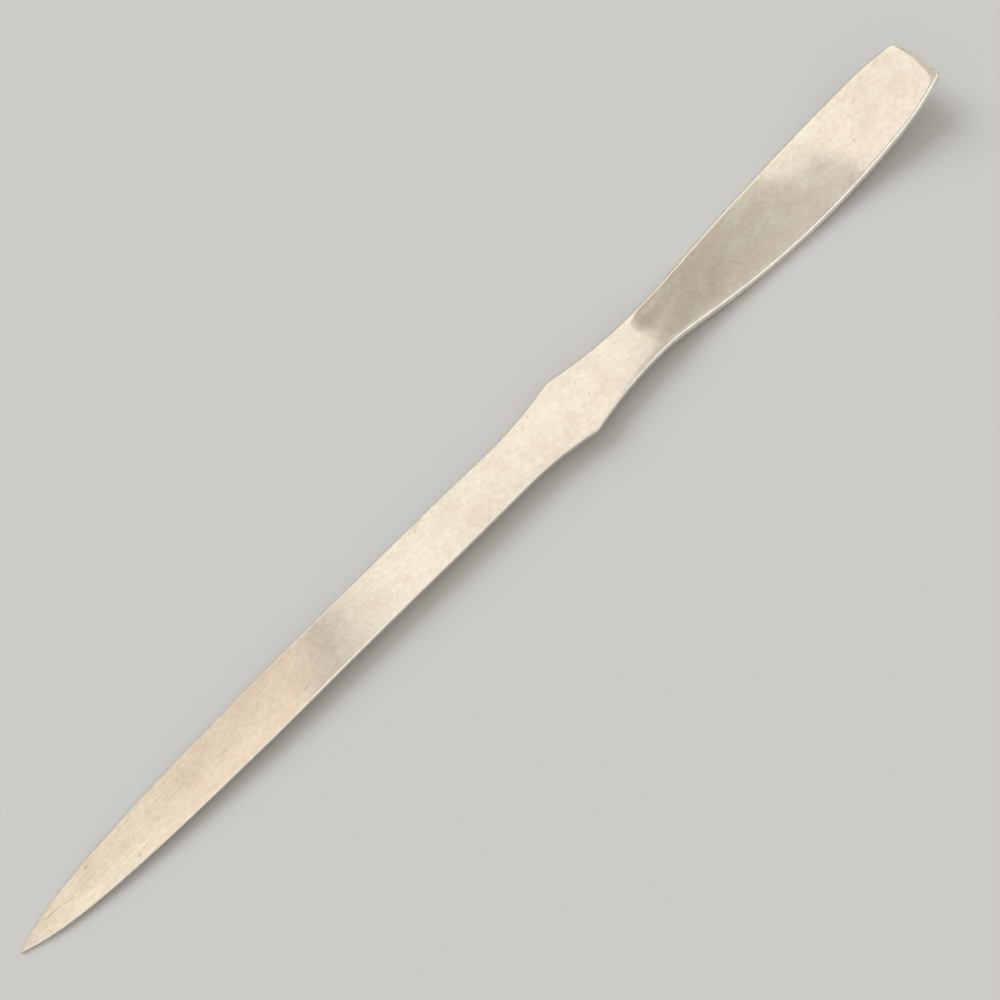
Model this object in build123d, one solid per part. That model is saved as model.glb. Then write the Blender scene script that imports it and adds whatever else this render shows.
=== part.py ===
from build123d import *
import math
import os

# One-piece stainless steel letter opener: a flat tapering blade, two pointed shoulders, a narrow
# neck and a bowed paddle handle, all pressed from one strip. Seen from above it is symmetric.
# Seen from the side the blade droops to the table at its tip, and the handle dips to the table
# and rises again to its end.
# Millimetres. X runs from the tip to the handle's end, Y across, Z up. The origin is on the table,
# under the middle of the length. A station is a distance from the tip, measured along X.

# Lengths along the opener
blade_length = 133.0  # tip to shoulders
point_length = 70.5  # tip to the blade's full width
flare_length = 15.7  # curve from the blade's edge out to the shoulder
neck_length = 17.6  # shoulders to the narrowest place of the neck
swell_length = 42.0  # narrowest place of the neck to the widest place of the handle
handle_end_length = 27.2  # widest place of the handle to its end
draw_in_length = 10.0  # last stretch of the handle, where its sides curve in more

# Widths
blade_width = 9.9
blade_root_width = 9.8
shoulder_width = 13.3
neck_width = 9.4
handle_width = 15.2
end_width = 10.2  # where the sides meet the end, before the corners are rounded

# The point's outline: it opens from a small nose at an angle and eases into the blade's edge
nose_radius = 0.3
point_half_angle = 16.5
point_opening = 8.6  # how far the opening angle carries
point_easing = 56.5  # how far ahead of the full width the easing starts

# Corners and the end, seen from above
shoulder_radius = 2.0
end_corner_radius = 1.4
end_crown = 0.5  # how far the end bulges past its corners

# Thickness and edges
handle_thickness = 1.5
tip_thickness = 0.6
edge_radius = 0.3
roll_length = 1.5  # the end's upper edge is polished over, back to here
roll_drop = 0.2  # and down by this much

# The side view
blade_lift = 2.2  # height of the blade's flat underside over the table
droop_length = 100.0  # tip to the flat stretch of the blade's underside
bend_lead = 0.9  # the bend down starts this far before the narrowest place of the neck
bend_radius = 32.0  # of the underside, where the handle bends down
bow_front_radius = 170.0  # of the underside, from the bend to the lowest place of the handle
bow_back_radius = 120.0  # of the underside, from there to the end

# How far the drawn-in sides run on before the end is cut, as a share of their length
run_on = 1.5

# Limits of the edges' rounding: what it may take of a wall at each edge, and of the nose's radius
wall_share = 0.45
nose_share = 0.9

# A face that leans less than this from upright, in degrees, is a wall; the others are skins
wall_lean = 45.0


def radius_of_rise(run, rise):
    """Radius of an arc that leaves a straight line smoothly and has risen by rise after run."""
    return (run**2 + rise**2) / (2 * rise)


def rise_of_arc(radius, run):
    """How far an arc that leaves a straight line smoothly has risen after run."""
    return radius - math.sqrt(radius**2 - run**2)


# Stations
flare_station = blade_length - flare_length
neck_station = blade_length + neck_length
widest_station = neck_station + swell_length
overall_length = widest_station + handle_end_length
draw_in_station = overall_length - draw_in_length

# The hollow of the neck and the swell of the handle are two arcs that meet smoothly
neck_radius = radius_of_rise(neck_length, (shoulder_width - neck_width) / 2)
neck_and_swell = radius_of_rise(swell_length, (handle_width - neck_width) / 2)
swell_radius = neck_and_swell - neck_radius

# So are the bend under the neck and the front of the bow
bend_station = neck_station - bend_lead
bend_and_bow = bend_radius + bow_front_radius
bend_to_belly = math.sqrt(2 * bend_and_bow * blade_lift - blade_lift**2)
belly_station = bend_station + bend_to_belly
end_run = overall_length - belly_station
end_angle = math.asin(end_run / bow_back_radius)

# Height that holds the whole opener, with room below and above
headroom = max(blade_lift, rise_of_arc(bow_back_radius, end_run)) + 3 * handle_thickness

# The rounding of the edges has to fit the thin tip, its small nose and the low wall of the end
lowest_wall = min(tip_thickness, handle_thickness - roll_drop)
edge_rounding = min(edge_radius, wall_share * lowest_wall, nose_share * nose_radius)


def plan_face():
    """The opener seen from above, running on a little past the handle's end."""
    opening = math.radians(point_half_angle)
    nose = Vector(1 - math.sin(opening), math.cos(opening)) * nose_radius
    opened = nose + Vector(math.cos(opening), math.sin(opening)) * point_opening
    full = Vector(point_length, blade_width / 2)
    flare = Vector(flare_station, blade_root_width / 2)
    along_edge = (flare - full).normalized()
    eased = full - along_edge * point_easing
    shoulder = Vector(blade_length, shoulder_width / 2)
    neck = Vector(neck_station, neck_width / 2)
    swell_run = swell_length * neck_radius / neck_and_swell
    swell = neck + Vector(swell_run, rise_of_arc(neck_radius, swell_run))
    widest = Vector(widest_station, handle_width / 2)
    draw_in_run = draw_in_station - widest_station
    draw_in = widest + Vector(draw_in_run, -rise_of_arc(swell_radius, draw_in_run))
    draw_in_angle = math.asin(draw_in_run / swell_radius)
    corner = Vector(overall_length, end_width / 2)
    inwards = Vector(math.cos(draw_in_angle), -math.sin(draw_in_angle))
    past = TangentArc(draw_in, corner, tangent=inwards) @ run_on
    upper_side = [
        Bezier(nose, opened, eased, full),
        Line(full, flare),
        TangentArc(flare, shoulder, tangent=along_edge),
        TangentArc(neck, shoulder, tangent=(-1, 0)),
        TangentArc(neck, swell, tangent=(1, 0)),
        TangentArc(widest, swell, tangent=(-1, 0)),
        TangentArc(widest, draw_in, tangent=(1, 0)),
        TangentArc(draw_in, past, tangent=inwards),
    ]
    lower_side = [edge.mirror(Plane.XZ) for edge in upper_side]
    nose_arc = ThreePointArc((nose.X, -nose.Y), (0, 0), nose)
    closing = Line((past.X, -past.Y), past)
    face = make_face([nose_arc, *upper_side, closing, *lower_side])
    shoulders = [v for v in face.vertices() if math.isclose(v.X, blade_length, abs_tol=1e-6)]
    return fillet(shoulders, shoulder_radius)


def bow_point(radius, angle):
    """A point on the back of the bow, in the side view."""
    return Vector(belly_station + radius * math.sin(angle), bow_back_radius - radius * math.cos(angle))


def bend_and_front(height, crest_radius, front_radius):
    """The bend and the front of the bow of one face in the side view, from the flat to the belly."""
    flat_end = Vector(bend_station, height + blade_lift)
    belly = Vector(belly_station, height)
    turn = flat_end + (belly - flat_end) * (crest_radius / (crest_radius + front_radius))
    return [TangentArc(flat_end, turn, tangent=(1, 0)), TangentArc(belly, turn, tangent=(-1, 0))]


def side_face():
    """The opener seen from the side, running on a little past the tip and the end. X along, Y up."""
    top = handle_thickness
    under_droop = radius_of_rise(droop_length, blade_lift)
    upper_droop = radius_of_rise(blade_length, blade_lift + top - tip_thickness)
    under_flat = Vector(droop_length, blade_lift)
    upper_flat = Vector(blade_length, blade_lift + top)
    past_tip = -nose_radius
    under_tip = Vector(past_tip, blade_lift - rise_of_arc(under_droop, droop_length - past_tip))
    upper_tip = Vector(past_tip, blade_lift + top - rise_of_arc(upper_droop, blade_length - past_tip))
    under_bend = Vector(bend_station, blade_lift)
    upper_bend = Vector(bend_station, blade_lift + top)
    under_end = bow_point(bow_back_radius, end_angle + end_crown / bow_back_radius)
    roll_angle = end_angle - roll_length / (bow_back_radius - top)
    along = Vector(math.cos(roll_angle), math.sin(roll_angle))
    inward = Vector(math.sin(roll_angle), -math.cos(roll_angle))
    roll = bow_point(bow_back_radius - top, roll_angle)
    past_run = roll_length + end_crown
    past_drop = rise_of_arc(radius_of_rise(roll_length, roll_drop), past_run)
    upper_end = roll + along * past_run + inward * past_drop
    return make_face(
        [
            Line(upper_tip, under_tip),
            TangentArc(under_flat, under_tip, tangent=(-1, 0)),
            Line(under_flat, under_bend),
            *bend_and_front(0, bend_radius, bow_front_radius),
            TangentArc(Vector(belly_station, 0), under_end, tangent=(1, 0)),
            Line(under_end, upper_end),
            TangentArc(roll, upper_end, tangent=along),
            TangentArc(Vector(belly_station, top), roll, tangent=(1, 0)),
            *bend_and_front(top, bend_radius + top, bow_front_radius - top),
            Line(upper_flat, upper_bend),
            TangentArc(upper_flat, upper_tip, tangent=(-1, 0)),
        ]
    )


def end_plane():
    """The plane of the handle's underside at its end: x on along the handle, z up through it."""
    under_end = bow_point(bow_back_radius, end_angle)
    return Plane(
        origin=(under_end.X, 0, under_end.Y),
        x_dir=(math.cos(end_angle), 0, math.sin(end_angle)),
        z_dir=(-math.sin(end_angle), 0, math.cos(end_angle)),
    )


def end_waste():
    """What lies past the bulging end of the handle, square to its faces."""
    bulge_radius = radius_of_rise(end_width / 2, end_crown)
    past_corners = Box(2 * draw_in_length, 2 * handle_width, 4 * headroom)
    bulge = Pos(-bulge_radius, 0, 0) * Cylinder(bulge_radius, 4 * headroom)
    return end_plane() * (past_corners - bulge)


def letter_opener():
    """The whole opener, with its tip at X = 0."""
    seen_from_above = Pos(0, 0, -handle_thickness) * extrude(plan_face(), headroom) - end_waste()
    upright = end_plane().z_dir
    near_end = overall_length - draw_in_length / 2
    end_edges = seen_from_above.edges().filter_by(lambda edge: edge.center().X > near_end)
    lean = math.radians(wall_lean)
    corners = end_edges.filter_by(lambda edge: abs((edge % 0.5).dot(upright)) > math.cos(lean))
    seen_from_above = fillet(corners, end_corner_radius)
    seen_from_side = extrude(Plane.XZ * side_face(), handle_width, both=True)
    body = seen_from_above & seen_from_side
    walls = body.faces().filter_by(lambda face: abs(face.normal_at().Z) < math.sin(lean))
    skins = body.faces() - walls
    rims = walls.edges() & skins.edges()
    return fillet(rims, edge_rounding)


os.makedirs("parts", exist_ok=True)
opener = Pos(-overall_length / 2, 0, 0) * letter_opener()
export_step(opener, "parts/blade_and_handle.step")
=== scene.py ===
import math

import bpy
import numpy as np
from mathutils import Matrix, Vector


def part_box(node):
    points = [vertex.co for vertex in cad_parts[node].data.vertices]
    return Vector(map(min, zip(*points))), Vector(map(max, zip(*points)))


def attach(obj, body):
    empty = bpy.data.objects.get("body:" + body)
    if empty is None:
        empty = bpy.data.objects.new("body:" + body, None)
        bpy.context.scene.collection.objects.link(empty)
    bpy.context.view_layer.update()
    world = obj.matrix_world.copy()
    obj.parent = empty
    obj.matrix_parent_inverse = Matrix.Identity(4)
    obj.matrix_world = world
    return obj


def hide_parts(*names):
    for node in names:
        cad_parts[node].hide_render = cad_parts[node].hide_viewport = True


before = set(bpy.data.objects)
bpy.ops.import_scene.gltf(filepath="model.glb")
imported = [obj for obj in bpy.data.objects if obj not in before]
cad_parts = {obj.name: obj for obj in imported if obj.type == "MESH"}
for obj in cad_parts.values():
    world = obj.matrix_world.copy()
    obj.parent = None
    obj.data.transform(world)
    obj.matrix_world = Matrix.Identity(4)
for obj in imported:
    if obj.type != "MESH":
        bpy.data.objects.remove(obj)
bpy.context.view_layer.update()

# A one-piece letter opener of satin stainless steel on a pale floor. Its sizes are in millimetres,
# and a station is a distance from the tip along X, as on its drawing. MM turns them into metres.
MM = 0.001
NODE = "blade_and_handle"
cad_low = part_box(NODE)[0]

# Lengths along the opener
blade_length = 133.0  # tip to shoulders
point_length = 70.5  # tip to the blade's full width
flare_length = 15.7  # curve from the blade's edge out to the shoulder
neck_length = 17.6  # shoulders to the narrowest place of the neck
swell_length = 42.0  # narrowest place of the neck to the widest place of the handle
handle_end_length = 27.2  # widest place of the handle to its end
draw_in_length = 10.0  # last stretch of the handle, where its sides curve in more

# Widths
blade_width = 9.9
blade_root_width = 9.8
shoulder_width = 13.3
neck_width = 9.4
handle_width = 15.2
end_width = 10.2  # where the sides meet the end, before the corners are rounded
end_crown = 0.5  # how far the end bulges past its corners

# The point's outline: a small nose that opens at an angle and eases into the blade's edge
nose_radius = 0.3
point_half_angle = 16.5
point_opening = 8.6  # how far the opening angle carries
point_easing = 56.5  # how far ahead of the full width the easing starts

# Thickness and side view
handle_thickness = 1.5
tip_thickness = 0.6
blade_lift = 2.2  # height of the blade's flat underside over the table
droop_length = 100.0  # tip to the flat stretch of the blade's underside
bend_lead = 0.9  # the bend down starts this far before the narrowest place of the neck
bend_radius = 32.0  # of the underside, where the handle bends down
bow_front_radius = 170.0  # of the underside, from the bend to the lowest place of the handle
bow_back_radius = 120.0  # of the underside, from there to the end

# The two sides of the outline differ a little, by hand work: +1 is the +Y side and -1 the other
shoulder_radius = {1: 6.0, -1: 2.2}
end_corner_radius = {1: 1.8, -1: 1.0}
end_tilt = 0.025  # slope of the end across the handle

# How far the edges stray from their drawn line: station, then outwards on the +Y and on the -Y side
wander = [
    (0.0, 0.0, 0.0),
    (40.0, 0.0, 0.0),
    (57.0, 0.10, 0.02),
    (78.0, 0.03, -0.03),
    (104.0, 0.03, 0.12),
    (116.0, -0.14, 0.08),
    (128.0, -0.06, 0.0),
    (134.0, -0.11, 0.0),
    (150.0, -0.02, 0.0),
    (158.0, 0.05, 0.06),
    (169.0, -0.08, 0.0),
    (196.0, 0.0, 0.0),
    (209.0, 0.04, 0.06),
    (219.8, 0.0, 0.0),
]

# Nicks in the edges: side, station, depth, length towards the tip and towards the handle
nicks = [
    (1, 52.0, 0.20, 0.20, 1.6),
    (1, 24.9, 0.09, 0.15, 0.7),
    (1, 74.2, 0.07, 0.20, 0.4),
    (1, 98.7, 0.05, 0.30, 0.3),
    (-1, 125.5, 0.08, 0.25, 0.3),
    (-1, 88.3, 0.04, 0.30, 0.5),
]

# Width of the edges' rounding at some stations, and how far within the drawing the walls lie beside
# the roundings and halfway up, where they bulge
edge_stations = [0.0, 10.0, 110.0, 145.0, 160.0, 205.0, 217.0]
upper_edge_widths = {
    1: [0.22, 0.30, 0.44, 0.60, 0.62, 0.62, 0.70],
    -1: [0.22, 0.30, 0.38, 0.46, 0.80, 0.82, 0.70],
}
under_edge_width = 0.22
wall_rim_inset = 0.04
wall_middle_inset = 0.01

# Beside the edges the faces are buffed down: how far in that starts, and its radius there
buff_stations = [0.0, 12.0, 60.0, 133.0, 150.0, 165.0, 205.0, 220.0]
buff_widths = {
    1: [0.7, 0.9, 0.9, 1.0, 1.5, 0.9, 1.0, 1.0],
    -1: [0.7, 0.8, 0.6, 0.6, 1.2, 1.2, 1.2, 1.0],
}
buff_radii = [3.0, 6.0, 10.0, 12.0, 12.0, 12.0, 12.0, 12.0]
under_buff_width = 0.8
under_buff_radius = 8.0

# A soft bevel runs along the end and round its -Y corner, and the blade is a little crowned across
bevel_slope = 0.18
bevel_softness = 0.5  # how far its inner side takes to ease in
end_bevel_width = {1: 0.7, -1: 1.8}
flank_bevel_stations = [206.0, 213.0, 219.8]
flank_bevel_widths = [-1.5, 0.6, 1.4]  # below 0 it has run out
crown_stations = [0.0, 45.0, 78.0]
crown_curves = [1 / 90, 1 / 100, 0.0]  # one over the radius

# The bend at the neck sets in earlier in a lobe near the +Y edge and later elsewhere
lobe_across = 2.1  # place of its middle
lobe_width = 3.0
lobe_lead = 1.35  # how much earlier in the middle than far from it
lobe_lag = 0.75  # how much later far from the middle
lobe_reach = 6.0  # how far along the opener this is felt

# Mesh density: row spacing near a feature, its growth away from it and its most, then the steps of
# an end corner's half, of the end, of an edge's rounding and of the point's outline
fine_spacing = 0.06
spacing_growth = 0.05
coarse_spacing = 0.45
corner_steps = 6
end_steps = 22
edge_steps = 7
point_steps = 400
corner_passes = 20  # in search of the centre of an end corner
arc_limit = 0.99  # an arc is followed over this share of its radius

# Camera: the photograph's viewing angle, in millimetres and degrees in the opener's frame
camera_place = Vector((-7.26, -51.91, 168.98))
camera_target = Vector((2.67, -2.10, 0.0))
picture_up_heading = 46.24
focal_length = 36.0
sensor_width = 36.0
nearest_seen = 10.0

# Satin steel: two tones that it varies between, how far by clouds, mottling and streaks, and its gloss
dull_steel = (0.785, 0.705, 0.615)
bright_steel = (0.895, 0.845, 0.745)
cloud_weight = 0.30
mottle_weight = 0.38
streak_weights = (0.45, 0.08)  # at the tip and past streak_reach
streak_reach = 90.0
tone_spread = 0.095  # sums this far under and over the mean have the dull and the bright tone
face_roughness = (0.085, 0.125)  # in the darkest and in the lightest clouds
cloud_range = (0.3, 0.7)  # values of the noise in those clouds
wall_roughness = 0.28  # on top of the face's
wave_height = 0.025

# Grains of its clouds, mottling, streaks and shallow waves: length, width and fineness of their detail
cloud_grain = (5.5, 4.0, 2.0)
mottle_grain = (1.0, 0.8, 3.0)
streak_grain = (5.0, 0.35, 2.0)
wave_grain = (8.0, 5.0, 1.0)

# Marks on the upper face: station, place across, heading in degrees, length, width and tone. A mark
# has its full tone within its core, a share of its size.
mark_core = 0.3
marks = [
    (6.5, 1.00, -8, 7.0, 1.60, -0.08),
    (9.0, 0.85, -2, 6.0, 0.50, -0.17),
    (12.3, 0.30, -8, 3.0, 0.40, -0.18),
    (17.8, 2.45, 14, 1.4, 0.65, -0.34),
    (26.5, -2.75, 4, 1.6, 0.45, -0.24),
    (28.1, -2.35, 10, 1.8, 0.40, -0.20),
    (66.3, -2.62, 10, 2.0, 0.40, -0.20),
    (98.1, 3.70, 60, 1.6, 0.40, -0.16),
    (124.2, 3.40, 30, 1.2, 0.45, -0.20),
    (136.6, -0.75, 0, 0.5, 0.40, -0.32),
    (135.9, 1.80, 64, 5.2, 0.35, -0.12),
    (202.3, -1.60, 66, 1.8, 0.40, -0.18),
    (207.4, 3.40, 8, 2.0, 0.45, -0.20),
    (173.5, -4.00, 0, 0.8, 0.50, 0.10),
]

# Light, in metres: a room that is pale above and grey at the horizon, a soft lamp, and cards overhead
# that the metal mirrors. The light of a card goes from a first to a last colour over a span along X.
room_light = (1.08, 1.037, 0.961)
horizon_light = (0.36, 0.36, 0.355)
horizon_reach = 0.75  # sine of the angle over the horizon from which the room has its full light
room_fill = 0.56  # share of the room's light that dull surfaces get
card_height = 1.2
cards = {
    "handle_card": {
        "corners": [
            (0.345, 0.333),
            (0.368, 0.351),
            (0.43, 0.362),
            (0.47, 0.372),
            (0.51, 0.41),
            (0.64, 0.48),
            (0.80, 0.60),
            (1.40, 0.86),
            (1.40, 0.44),
            (0.80, 0.368),
            (0.62, 0.343),
        ],
        "light": ((0.42, 0.76), (0.685, 0.655, 0.612), (0.543, 0.512, 0.453)),
    },
    "band_card": {
        "corners": [(0.325, 0.24), (0.55, 0.24), (0.62, 0.343), (0.345, 0.333), (0.325, 0.312)],
        "light": ((0.3, 0.6), (0.69, 0.662, 0.633), (0.69, 0.662, 0.633)),
    },
    "far_card": {
        "corners": [(1.40, -0.5), (6.0, -0.5), (6.0, 2.5), (1.40, 0.86)],
        "light": ((1.4, 2.0), (0.745, 0.725, 0.74), (0.84, 0.85, 0.86)),
    },
    "low_card": {
        "corners": [
            (0.325, 0.24),
            (0.55, 0.24),
            (0.62, 0.343),
            (0.80, 0.368),
            (1.40, 0.44),
            (1.40, -0.5),
            (-0.15, -0.5),
            (0.0, -0.1),
        ],
        "light": ((0.33, 0.50), (0.745, 0.718, 0.70), (0.69, 0.66, 0.62)),
    },
    "end_card": {
        "corners": [
            (-0.4, -0.5),
            (-0.15, -0.5),
            (0.0, -0.1),
            (0.325, 0.24),
            (0.325, 0.312),
            (0.345, 0.333),
            (0.25, 0.337),
            (0.19, 0.318),
            (-0.05, 0.318),
            (-0.4, 0.2),
        ],
        "light": ((0.10, 0.20), (1.09, 1.015, 0.97), (1.08, 1.005, 0.935)),
    },
    "end_left_card": {
        "corners": [(-0.05, 0.318), (0.19, 0.318), (0.25, 0.337), (0.05, 0.346), (-0.05, 0.346)],
        "light": ((-0.05, 0.25), (0.84, 0.77, 0.72), (0.84, 0.77, 0.72)),
    },
    "edge_card": {
        "corners": [(-3.0, -0.5), (-3.0, -2.2), (3.0, -2.2), (3.0, -0.5)],
        "light": ((-1.7, 0.3), (0.66, 0.66, 0.64), (1.10, 1.16, 1.18)),
    },
    "far_left_card": {
        "corners": [(-3.0, 1.2), (1.40, 1.2), (3.0, 1.7), (3.0, 2.2), (-3.0, 2.2)],
        "light": ((-1.7, 0.3), (0.66, 0.66, 0.64), (1.03, 1.04, 0.99)),
    },
    "left_card": {
        "corners": [(-0.10, 0.42), (0.11, 0.42), (0.11, 0.90), (-0.10, 0.90)],
        "light": ((0.04, 0.11), (0.96, 0.965, 0.87), room_light),
    },
    "blade_card": {
        "corners": [
            (-0.39, 0.27),
            (-0.10, 0.27),
            (-0.10, 0.60),
            (-0.32, 0.60),
            (-0.33, 0.40),
            (-0.35, 0.36),
        ],
        "light": ((-0.335, -0.14), (0.66, 0.618, 0.575), room_light),
    },
    "tip_card": {
        "corners": [
            (-1.6, 0.43),
            (-0.90, 0.42),
            (-0.84, 0.365),
            (-0.60, 0.355),
            (-0.35, 0.36),
            (-0.33, 0.40),
            (-0.32, 0.60),
            (-0.6, 0.95),
            (-1.6, 0.95),
        ],
        "light": ((-0.70, -0.60), (0.92, 0.84, 0.73), (0.865, 0.77, 0.655)),
    },
    "nose_card": {
        "corners": [(-1.6, 0.1), (-0.90, 0.1), (-0.90, 0.42), (-1.6, 0.43)],
        "light": ((-1.1, -0.9), (0.87, 0.79, 0.69), (0.93, 0.85, 0.745)),
    },
    "low_tip_card": {
        "corners": [
            (-0.90, 0.1),
            (-0.39, 0.1),
            (-0.39, 0.27),
            (-0.35, 0.36),
            (-0.60, 0.355),
            (-0.84, 0.365),
            (-0.90, 0.42),
        ],
        "light": ((-0.72, -0.62), (1.055, 0.985, 0.872), (0.98, 0.876, 0.757)),
    },
}
lamp_side = Vector((-0.3, 1.25, 1.0))  # direction towards the lamp
lamp_spread = 40.0  # degrees across
lamp_level = 1.5
floor_size = 6.0
floor_colour = (0.72, 0.72, 0.72, 1)
floor_roughness = 0.9

# Stations and radii that follow from the sizes
flare_station = blade_length - flare_length
neck_station = blade_length + neck_length
widest_station = neck_station + swell_length
overall_length = widest_station + handle_end_length
draw_in_station = overall_length - draw_in_length


def radius_of_rise(run, rise):
    """Radius of an arc that leaves a straight line smoothly and has risen by rise after run."""
    return (run**2 + rise**2) / (2 * rise)


flare_radius = radius_of_rise(flare_length, (shoulder_width - blade_root_width) / 2)
neck_radius = radius_of_rise(neck_length, (shoulder_width - neck_width) / 2)
neck_and_swell = radius_of_rise(swell_length, (handle_width - neck_width) / 2)
swell_radius = neck_and_swell - neck_radius
swell_station = neck_station + swell_length * neck_radius / neck_and_swell
bulge_radius = radius_of_rise(end_width / 2, end_crown)
bend_station = neck_station - bend_lead
bend_and_bow = bend_radius + bow_front_radius
bend_to_belly = math.sqrt(2 * bend_and_bow * blade_lift - blade_lift**2)
belly_station = bend_station + bend_to_belly
turn_station = bend_station + bend_to_belly * bend_radius / bend_and_bow
under_droop_radius = radius_of_rise(droop_length, blade_lift)
upper_droop_radius = radius_of_rise(blade_length, blade_lift + handle_thickness - tip_thickness)


def valley(station, lowest, level, radius):
    """Height and slope of an arc that rises on both sides of its lowest place."""
    run = np.clip(station - lowest, -arc_limit * radius, arc_limit * radius)
    reach = np.sqrt(radius**2 - run**2)
    return level + radius - reach, run / reach


def hill(station, highest, level, radius):
    """Height and slope of an arc that falls on both sides of its highest place."""
    height, slope = valley(station, highest, -level, radius)
    return -height, -slope


def underside(station):
    """Height and slope of the underside."""
    flat = np.full_like(station, blade_lift), np.zeros_like(station)
    stretches = [
        (droop_length, hill(station, droop_length, blade_lift, under_droop_radius)),
        (bend_station, flat),
        (turn_station, hill(station, bend_station, blade_lift, bend_radius)),
        (belly_station, valley(station, belly_station, 0.0, bow_front_radius)),
    ]
    last = valley(station, belly_station, 0.0, bow_back_radius)
    within = [station < limit for limit, _ in stretches]
    height = np.select(within, [stretch[0] for _, stretch in stretches], last[0])
    slope = np.select(within, [stretch[1] for _, stretch in stretches], last[1])
    return height, slope


def thickness(station):
    """Thickness of the strip, which tapers from the shoulders to the tip."""
    upper = hill(station, blade_length, blade_lift + handle_thickness, upper_droop_radius)[0]
    return np.where(station < blade_length, upper - underside(station)[0], handle_thickness)


def point_outline():
    """Points on the outline from the nose to the blade's full width."""
    opening = math.radians(point_half_angle)
    nose = np.array([1 - math.sin(opening), math.cos(opening)]) * nose_radius
    opened = nose + np.array([math.cos(opening), math.sin(opening)]) * point_opening
    full = np.array([point_length, blade_width / 2])
    easing = full - np.array([point_easing, 0])
    t = np.linspace(0, 1, point_steps)[:, None]
    return (
        nose * (1 - t) ** 3
        + 3 * opened * t * (1 - t) ** 2
        + 3 * easing * t**2 * (1 - t)
        + full * t**3
    )


point_line = point_outline()
nose_station = point_line[0, 0]


def eased(station, stations, values):
    """Values at some stations, with a smooth change from each to the next."""
    count = np.interp(station, stations, np.arange(len(stations)))
    share = count % 1
    return np.interp(np.floor(count) + share**2 * (3 - 2 * share), np.arange(len(values)), values)


def stray(station, side):
    """How far one edge strays outwards from its drawn line."""
    stations, left, right = zip(*wander)
    return eased(station, stations, left if side == 1 else right)


def nick_depth(station, side):
    """How far the nicks of one side cut into its edge."""
    depth = np.zeros_like(station)
    for nick_side, deepest_station, deepest, tipward, handleward in nicks:
        if nick_side == side:
            away = station - deepest_station
            depth += deepest * np.exp(-((away / np.where(away < 0, tipward, handleward)) ** 2))
    return depth


def half_width(station, side):
    """Distance of one edge from the middle line, without the corners at the end."""
    point = np.interp(station, point_line[:, 0], point_line[:, 1])
    edge = np.interp(station, [point_length, flare_station], [blade_width / 2, blade_root_width / 2])
    flare = valley(station, flare_station, blade_root_width / 2, flare_radius)[0]
    neck = valley(station, neck_station, neck_width / 2, neck_radius)[0]
    swell = hill(station, widest_station, handle_width / 2, swell_radius)[0]
    draw_in_start = np.float64(draw_in_station)
    start, start_slope = hill(draw_in_start, widest_station, handle_width / 2, swell_radius)
    drawn = station - draw_in_station
    curl = (start + start_slope * draw_in_length - end_width / 2) / draw_in_length**2
    draw_in = start + start_slope * drawn - curl * drawn**2
    # The flare and the neck meet in the shoulder, which is eased over a short stretch
    turn = flare_length / flare_radius + neck_length / neck_radius
    ease = shoulder_radius[side] * turn**2 / 2
    overlap = np.clip(ease - np.abs(flare - neck), 0, None)
    shoulder = np.minimum(flare, neck) - overlap**2 / (4 * ease)
    stretches = [
        (point_length, point),
        (flare_station, edge),
        (neck_station, shoulder),
        (swell_station, neck),
        (draw_in_station, swell),
    ]
    within = [station < limit for limit, _ in stretches]
    drawn_width = np.select(within, [stretch for _, stretch in stretches], draw_in)
    return drawn_width + stray(station, side) - nick_depth(station, side)


def width_slope(station, side):
    """How fast one edge leaves the middle line."""
    step = 0.02  # to either side
    return (half_width(station + step, side) - half_width(station - step, side)) / (2 * step)


def end_line(across):
    """Station of the bulging end."""
    return overall_length - across**2 / (2 * bulge_radius) - end_tilt * across


def end_slope(across):
    """How fast the end falls back."""
    return across / bulge_radius + end_tilt


def corner_centre(side):
    """Centre of the rounding between one edge and the end."""
    radius = end_corner_radius[side]
    across = end_width / 2 - radius
    station = overall_length - radius
    for _ in range(corner_passes):
        slope = width_slope(np.float64(station), side)
        across = half_width(np.float64(station), side) - radius * math.hypot(1, slope)
        station = end_line(side * across) - radius * math.hypot(1, end_slope(side * across))
    return station, across


def row_shares():
    """Where the rows of the mesh lie along an edge, from 0 at the nose to 1 at the end's corner."""
    features = [0.0, blade_length, overall_length] + [nick[1] for nick in nicks]
    stations = [nose_station]
    last = overall_length - max(end_corner_radius.values())
    while stations[-1] < last:
        near = min(abs(stations[-1] - feature) for feature in features)
        stations.append(stations[-1] + min(fine_spacing + spacing_growth * near, coarse_spacing))
    stations = np.array(stations)
    return (stations - nose_station) / (stations[-1] - nose_station)


# Steps of the mesh along the opener and across it
shares = row_shares()
rows = len(shares) - 1 + corner_steps
columns = end_steps + 2 * corner_steps


def evenly(inset):
    """An inset that is the same all round."""
    return lambda station, side: np.full_like(station, inset)


def flank(side, inset_of):
    """One edge moved inwards, and the end's corner on its side, from the nose to the end."""
    radius = end_corner_radius[side]
    centre_station, centre_across = corner_centre(side)
    slope = width_slope(np.float64(centre_station), side)
    last = centre_station - radius * slope / math.hypot(1, slope)
    station = nose_station + shares * (last - nose_station)
    slope = width_slope(station, side)
    slope[0] = math.tan(math.radians(point_half_angle))
    inset = inset_of(station, side)
    length = np.hypot(1, slope)
    along = station + inset * slope / length
    across = half_width(station, side) - inset / length
    start = math.atan2(1, -slope[-1])
    stop = math.atan(side * end_slope(side * centre_across))
    angles = np.linspace(start, stop, 2 * corner_steps + 1)
    bend = radius - inset[-1]
    edge = np.stack([along, side * across], 1)
    turn = np.stack([np.cos(angles), side * np.sin(angles)], 1)
    corner = np.array([centre_station, side * centre_across]) + bend * turn
    return np.concatenate([edge, corner[1 : corner_steps + 1]]), corner[corner_steps:]


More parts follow.
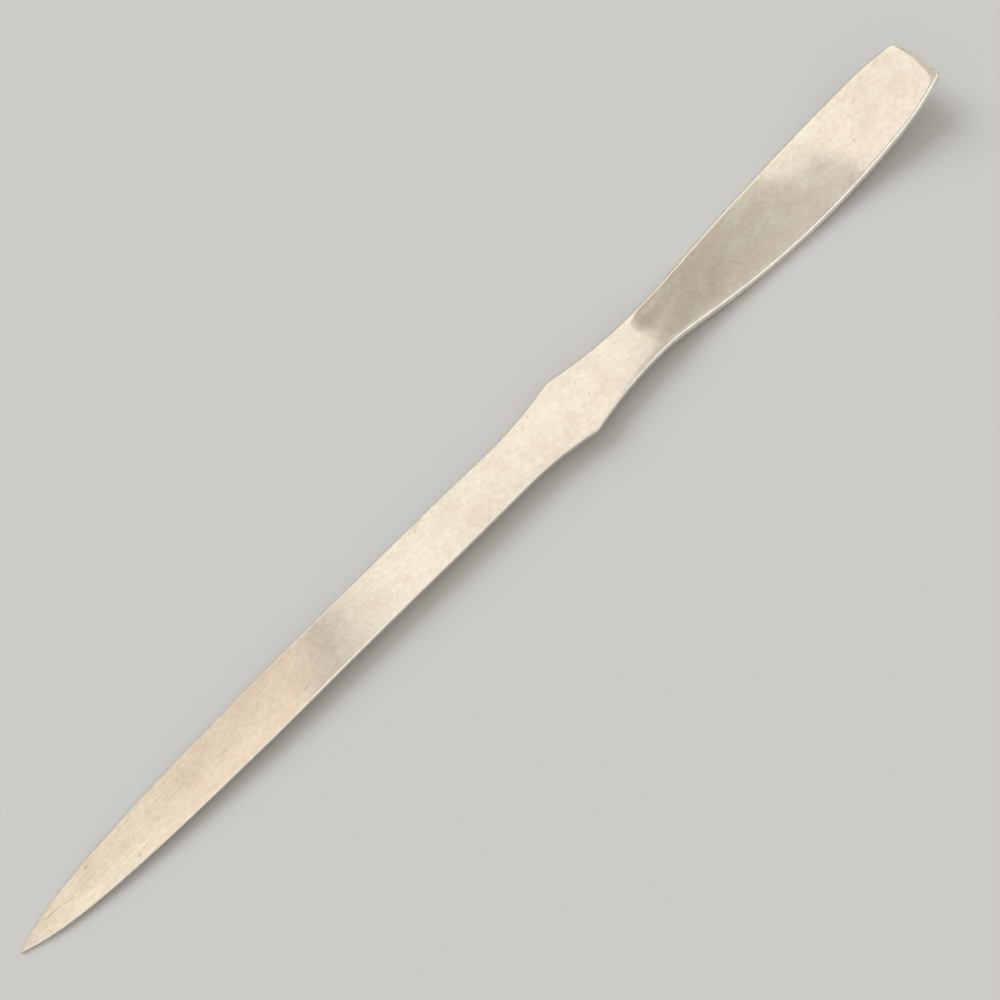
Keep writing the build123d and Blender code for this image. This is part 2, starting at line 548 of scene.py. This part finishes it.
def border(inset_of):
    """The outline moved inwards: left edge, end, right edge and nose, as one closed row of points."""
    left, left_corner = flank(1, inset_of)
    right, right_corner = flank(-1, inset_of)
    across = np.linspace(left_corner[-1][1], right_corner[-1][1], end_steps + 1)[1:-1]
    insets = [inset_of(np.float64(overall_length), side) for side in (-1, 1)]
    inset = np.interp(across, [right_corner[-1][1], left_corner[-1][1]], insets)
    end = np.stack([end_line(across) - inset, across], 1)
    end = np.concatenate([left_corner[1:], end, right_corner[::-1][:-1]])
    nose_bend = nose_radius - inset_of(np.float64(0.0), 1)
    cut = np.linspace(right[0][1], left[0][1], columns + 1)[1:-1]
    nose = np.stack([nose_radius - np.sqrt(np.maximum(nose_bend**2 - cut**2, 0)), cut], 1)
    return np.concatenate([left, end, right[::-1], nose])


def fill(edge):
    """A grid of points, nose to end and left to right, inside a border."""
    left = edge[: rows + 1]
    end = edge[rows : rows + columns + 1]
    right = edge[rows + columns : 2 * rows + columns + 1][::-1]
    nose = np.concatenate([edge[:1], edge[2 * rows + columns :][::-1]])
    share = ((end[:, 1] - end[0, 1]) / (end[-1, 1] - end[0, 1]))[None, :, None]
    grid = left[:, None] * (1 - share) + right[:, None] * share
    fade = 4.0  # how far from the nose and the end the rows take on their curves
    for target, row in ((nose, 0), (end, -1)):
        weight = np.exp(-np.abs(left[:, 0] - left[row, 0]) / fade)
        grid = grid + weight[:, None, None] * (target - grid[row])[None]
    grid[:, 0], grid[:, -1], grid[0], grid[-1] = left, right, nose, end
    return grid


def buffed(distance, width, radius):
    """How deep a face is buffed down at a distance from its edge."""
    return np.clip(width - distance, 0, None) ** 2 / (2 * radius)


def bevel(distance, width):
    """How deep a bevel with a soft inner side is at a distance from the edge."""
    past = width - distance
    return bevel_slope / 2 * (past + np.hypot(past, bevel_softness))


def upper_drop(station, across):
    """How deep the upper face lies under its drawn level: buffed edges, bevels, crown and lobe."""
    drop = np.zeros_like(station)
    radius = eased(station, buff_stations, buff_radii)
    for side in (1, -1):
        distance = half_width(station, side) - side * across
        width = eased(station, buff_stations, buff_widths[side])
        drop = drop + buffed(distance, width, radius)
    end_sides = [-end_width / 2, end_width / 2]
    width = np.interp(across, end_sides, [end_bevel_width[-1], end_bevel_width[1]])
    end_bevel = bevel(end_line(across) - station, width)
    width = np.interp(station, flank_bevel_stations, flank_bevel_widths)
    flank_bevel = bevel(half_width(station, -1) + across, width)
    crown = eased(station, crown_stations, crown_curves) * across**2 / 2
    lead = lobe_lead * np.exp(-(((across - lobe_across) / lobe_width) ** 2)) - lobe_lag
    fade = np.exp(-(((station - turn_station) / lobe_reach) ** 2))
    lobe = -underside(station)[1] * lead * fade
    return drop + np.hypot(end_bevel, flank_bevel) + crown + lobe


def under_drop(station, across):
    """How deep the underside is buffed up beside its edges and its end."""
    drop = buffed(end_line(across) - station, under_buff_width, under_buff_radius)
    for side in (1, -1):
        distance = half_width(station, side) - side * across
        drop = drop + buffed(distance, under_buff_width, under_buff_radius)
    return drop


def in_frame(points, height):
    """Points of the strip, at a height over its underside, in the opener's frame in metres.

    The edges stand upright, but towards the end of the handle the strip leans with its slope.
    """
    station, across = points[..., 0], points[..., 1]
    level, slope = underside(station)
    length = np.hypot(1, slope)
    lean = np.clip((station - belly_station) / (overall_length - belly_station), 0, 1)
    along = station - lean * height * slope / length
    up = level + height / length * (1 + (1 - lean) * slope**2)
    return np.stack([along * MM + cad_low.x, across * MM, up * MM], -1)


def upper_edge_width(station, side):
    """How far in the rounding of the upper edges reaches."""
    return eased(station, edge_stations, upper_edge_widths[side])


def edge_profile(drop, edge_width):
    """Rounding from the wall to a face: rings of points, and their depth under the face's level."""
    step_in = 0.02  # from the rounding's inner side, to find how the face leans there
    outer = border(evenly(wall_rim_inset))
    inner = border(edge_width)
    further = border(lambda station, side: edge_width(station, side) + step_in)
    lean = np.arctan((drop(*inner.T) - drop(*further.T)) / step_in)
    radius = np.linalg.norm(inner - outer, axis=1) / (1 - np.sin(lean))
    rings = []
    for step in range(edge_steps + 1):
        angle = (math.pi / 2 - lean) * step / edge_steps
        share = (1 - np.cos(angle)) / (1 - np.sin(lean))
        depth = drop(*inner.T) + radius * (np.cos(lean) - np.sin(angle))
        rings.append((outer + (inner - outer) * share[:, None], depth))
    return rings


def opener_mesh():
    """The whole opener as one closed mesh: upper face, rounded edges, walls and underside.

    Returns its points, its faces, and how much of a wall each point is, from 0 to 1.
    """
    upper = edge_profile(upper_drop, upper_edge_width)
    under = edge_profile(under_drop, evenly(under_edge_width))
    upper_grid = fill(upper[-1][0])
    under_grid = fill(under[-1][0])
    top = thickness(upper_grid[..., 0]) - upper_drop(upper_grid[..., 0], upper_grid[..., 1])
    bottom = under_drop(under_grid[..., 0], under_grid[..., 1])
    rings = [in_frame(points, thickness(points[:, 0]) - depth) for points, depth in upper[::-1][1:]]
    middle = border(evenly(wall_middle_inset))
    high = thickness(middle[:, 0]) - upper[0][1]
    low = under[0][1]
    rings.append(in_frame(middle, (high + low) / 2))
    rings += [in_frame(points, depth) for points, depth in under[:-1]]
    upper_points = in_frame(upper_grid, top).reshape(-1, 3)
    under_points = in_frame(under_grid, bottom).reshape(-1, 3)
    points = np.concatenate([upper_points, under_points, *rings])
    cell = np.arange((rows + 1) * (columns + 1)).reshape(rows + 1, columns + 1)
    round_border = np.concatenate([cell[:, 0], cell[-1, 1:], cell[::-1, -1][1:], cell[0, ::-1][1:-1]])
    quads = np.stack([cell[:-1, :-1], cell[:-1, 1:], cell[1:, 1:], cell[1:, :-1]], -1).reshape(-1, 4)
    loops = [round_border]
    first = 2 * cell.size
    for _ in rings:
        loops.append(first + np.arange(len(round_border)))
        first += len(round_border)
    loops.append(round_border + cell.size)
    faces = [quads, quads[:, ::-1] + cell.size]
    for above, below in zip(loops, loops[1:]):
        faces.append(np.stack([above, below, np.roll(below, -1), np.roll(above, -1)], 1)[:, ::-1])
    rise = np.linspace(0, 1, edge_steps + 1)
    ring_wall = np.concatenate([rise[1:], [1], rise[:0:-1]])
    wall = np.concatenate([np.zeros(2 * cell.size), np.repeat(ring_wall, len(round_border))])
    return points, np.concatenate(faces), wall


def node(tree, kind, inputs=None, **settings):
    """A new shader node with its settings, and with its inputs set to values or linked to outputs."""
    made = tree.nodes.new("ShaderNode" + kind)
    for name, value in settings.items():
        setattr(made, name, value)
    for name, value in (inputs or {}).items():
        if isinstance(value, bpy.types.NodeSocket):
            tree.links.new(value, made.inputs[name])
        else:
            made.inputs[name].default_value = value
    return made


def new_material(name):
    """A material, its node tree and its shader."""
    material = bpy.data.materials.new(name)
    material.use_nodes = True
    tree = material.node_tree
    return material, tree, tree.nodes["Principled BSDF"]


def noise(tree, place, along, across, detail):
    """Noise whose grains have a length along the opener and a width across it, in millimetres."""
    size = (along * MM, across * MM, across * MM)
    grains = node(tree, "Mapping", {"Vector": place, "Scale": size}, vector_type="TEXTURE")
    inputs = {"Vector": grains.outputs[0], "Scale": 1.0, "Detail": detail}
    return node(tree, "TexNoise", inputs).outputs["Fac"]


def remap(tree, value, low, high, to_low, to_high, interpolation="LINEAR"):
    """A value moved from one range to another."""
    inputs = {"Value": value, "From Min": low, "From Max": high, "To Min": to_low, "To Max": to_high}
    return node(tree, "MapRange", inputs, interpolation_type=interpolation).outputs["Result"]


def blend(tree, share, first, last):
    """A colour between a first and a last one."""
    # 6, 7 and 2 are the sockets that the node has for colours
    inputs = {0: share, 6: (*first, 1), 7: (*last, 1)}
    return node(tree, "Mix", inputs, data_type="RGBA").outputs[2]


def weighted_sum(tree, parts, total=0.0):
    """A sum of values, each with its weight."""
    for value, weight in parts:
        total = node(tree, "Math", {0: value, 1: weight, 2: total}, operation="MULTIPLY_ADD").outputs[0]
    return total


def mark_tones(tree, place):
    """Tone of the small marks on the upper face, each a soft streak."""
    total = 0.0
    for station, across, heading, length, width, tone in marks:
        height = underside(np.float64(station))[0] + thickness(np.float64(station))
        streak = node(
            tree,
            "Mapping",
            {
                "Vector": place,
                "Location": (station * MM + cad_low.x, across * MM, height * MM),
                "Rotation": (0, 0, math.radians(heading)),
                "Scale": (length / 2 * MM, width / 2 * MM, tip_thickness * MM),
            },
            vector_type="TEXTURE",
        )
        away = node(tree, "VectorMath", {0: streak.outputs[0]}, operation="LENGTH").outputs["Value"]
        mark = remap(tree, away, mark_core, 1.0, tone, 0.0, "SMOOTHSTEP")
        total = node(tree, "Math", {0: mark, 1: total}, operation="ADD").outputs[0]
    return total


def satin_steel():
    """Satin stainless steel: clouds, mottling, grinding streaks, marks and duller walls."""
    material, tree, shader = new_material("satin_steel")
    place = node(tree, "TexCoord").outputs["Object"]
    along = node(tree, "SeparateXYZ", {0: place}).outputs["X"]
    wall = node(tree, "Attribute", attribute_name="wall").outputs["Fac"]
    clouds = noise(tree, place, *cloud_grain)
    mottle = noise(tree, place, *mottle_grain)
    streaks = noise(tree, place, *streak_grain)
    waves = noise(tree, place, *wave_grain)
    streak_share = remap(tree, along, cad_low.x, streak_reach * MM + cad_low.x, *streak_weights)
    parts = [(clouds, cloud_weight), (mottle, mottle_weight), (streaks, streak_share)]
    tone = weighted_sum(tree, parts)
    # Each noise has a mean of one half, so the sum's mean is half of its weights
    middle = weighted_sum(tree, [(streak_share, 0.5)], (cloud_weight + mottle_weight) / 2)
    tone = node(tree, "Math", {0: tone, 1: middle}, operation="SUBTRACT").outputs[0]
    share = remap(tree, tone, -tone_spread, tone_spread, 0.0, 1.0)
    colour = blend(tree, share, dull_steel, bright_steel)
    light = node(tree, "Math", {0: mark_tones(tree, place), 1: 1.0}, operation="ADD").outputs[0]
    colour = node(tree, "VectorMath", {0: colour, "Scale": light}, operation="SCALE").outputs[0]
    face_rough = remap(tree, clouds, *cloud_range, *face_roughness)
    rough = weighted_sum(tree, [(wall, wall_roughness)], face_rough)
    bump = node(tree, "Bump", {"Strength": 1.0, "Distance": wave_height * MM, "Height": waves})
    tree.links.new(colour, shader.inputs["Base Color"])
    tree.links.new(rough, shader.inputs["Roughness"])
    tree.links.new(bump.outputs[0], shader.inputs["Normal"])
    shader.inputs["Metallic"].default_value = 1.0
    return material


def floor_material():
    """Plain pale floor."""
    material, _, shader = new_material("pale_floor")
    shader.inputs["Base Color"].default_value = floor_colour
    shader.inputs["Roughness"].default_value = floor_roughness
    return material


def card_material(name, span, first_light, last_light):
    """Light of a card, which changes along X from one end of a span to the other."""
    material, tree, shader = new_material(name)
    tree.nodes.remove(shader)
    place = node(tree, "TexCoord").outputs["Object"]
    along = node(tree, "SeparateXYZ", {0: place}).outputs["X"]
    share = remap(tree, along, *span, 0.0, 1.0, "SMOOTHSTEP")
    light = blend(tree, share, first_light, last_light)
    glow = node(tree, "Emission", {"Color": light, "Strength": 1.0})
    tree.links.new(glow.outputs[0], tree.nodes["Material Output"].inputs["Surface"])
    return material


def make_opener():
    """The opener, one piece in place of the drawing's one solid."""
    points, faces, wall = opener_mesh()
    mesh = bpy.data.meshes.new("letter_opener")
    mesh.from_pydata(points.tolist(), [], faces.tolist())
    mesh.polygons.foreach_set("use_smooth", [True] * len(mesh.polygons))
    mesh.materials.append(satin_steel())
    mesh.attributes.new("wall", "FLOAT", "POINT").data.foreach_set("value", wall)
    mesh.validate()
    mesh.update()
    opener = bpy.data.objects.new("letter_opener", mesh)
    bpy.context.collection.objects.link(opener)
    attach(opener, "root")
    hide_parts(NODE)


def make_flat(name, corners, height, material):
    """A flat piece of the stage."""
    mesh = bpy.data.meshes.new(name)
    mesh.from_pydata([(x, y, height) for x, y in corners], [], [range(len(corners))])
    mesh.materials.append(material)
    flat = bpy.data.objects.new(name, mesh)
    bpy.context.collection.objects.link(flat)
    return flat


def make_stage():
    """Floor, and cards that show only in the metal."""
    half = floor_size / 2
    corners = [(-half, -half), (half, -half), (half, half), (-half, half)]
    make_flat("floor", corners, 0.0, floor_material())
    for name, card in cards.items():
        flat = make_flat(name, card["corners"], card_height, card_material(name, *card["light"]))
        flat.visible_diffuse = False
        flat.visible_camera = False
        flat.visible_shadow = False


def make_light():
    """Soft lamp, and a room that is pale above and grey at the horizon."""
    light = bpy.data.lights.new("soft_lamp", "SUN")
    light.angle = math.radians(lamp_spread)
    light.energy = lamp_level
    lamp = bpy.data.objects.new("soft_lamp", light)
    lamp.rotation_euler = lamp_side.to_track_quat("Z", "Y").to_euler()
    lamp.visible_glossy = False
    bpy.context.collection.objects.link(lamp)
    world = bpy.data.worlds.new("room")
    world.use_nodes = True
    tree = world.node_tree
    background = tree.nodes["Background"]
    up = node(tree, "SeparateXYZ", {0: node(tree, "TexCoord").outputs["Generated"]}).outputs["Z"]
    share = remap(tree, up, 0.0, horizon_reach, 0.0, 1.0, "SMOOTHSTEP")
    colour = blend(tree, share, horizon_light, room_light)
    ray = node(tree, "LightPath")
    level = remap(tree, ray.outputs["Is Diffuse Ray"], 0.0, 1.0, 1.0, room_fill)
    tree.links.new(colour, background.inputs["Color"])
    tree.links.new(level, background.inputs["Strength"])
    bpy.context.scene.world = world


def make_camera():
    """Camera that sees the opener as the photograph does."""
    place_m = camera_place * MM
    target_m = camera_target * MM
    heading = math.radians(picture_up_heading)
    back = (place_m - target_m).normalized()
    right = Vector((math.cos(heading), math.sin(heading), 0)).cross(back).normalized()
    up = back.cross(right)
    data = bpy.data.cameras.new("camera")
    data.lens = focal_length
    data.sensor_width = sensor_width
    data.clip_start = nearest_seen * MM
    camera = bpy.data.objects.new("camera", data)
    camera.matrix_world = Matrix.Translation(place_m) @ Matrix((right, up, back)).transposed().to_4x4()
    bpy.context.collection.objects.link(camera)
    bpy.context.scene.camera = camera


make_opener()
make_stage()
make_light()
make_camera()
bpy.context.scene.view_settings.view_transform = "Standard"
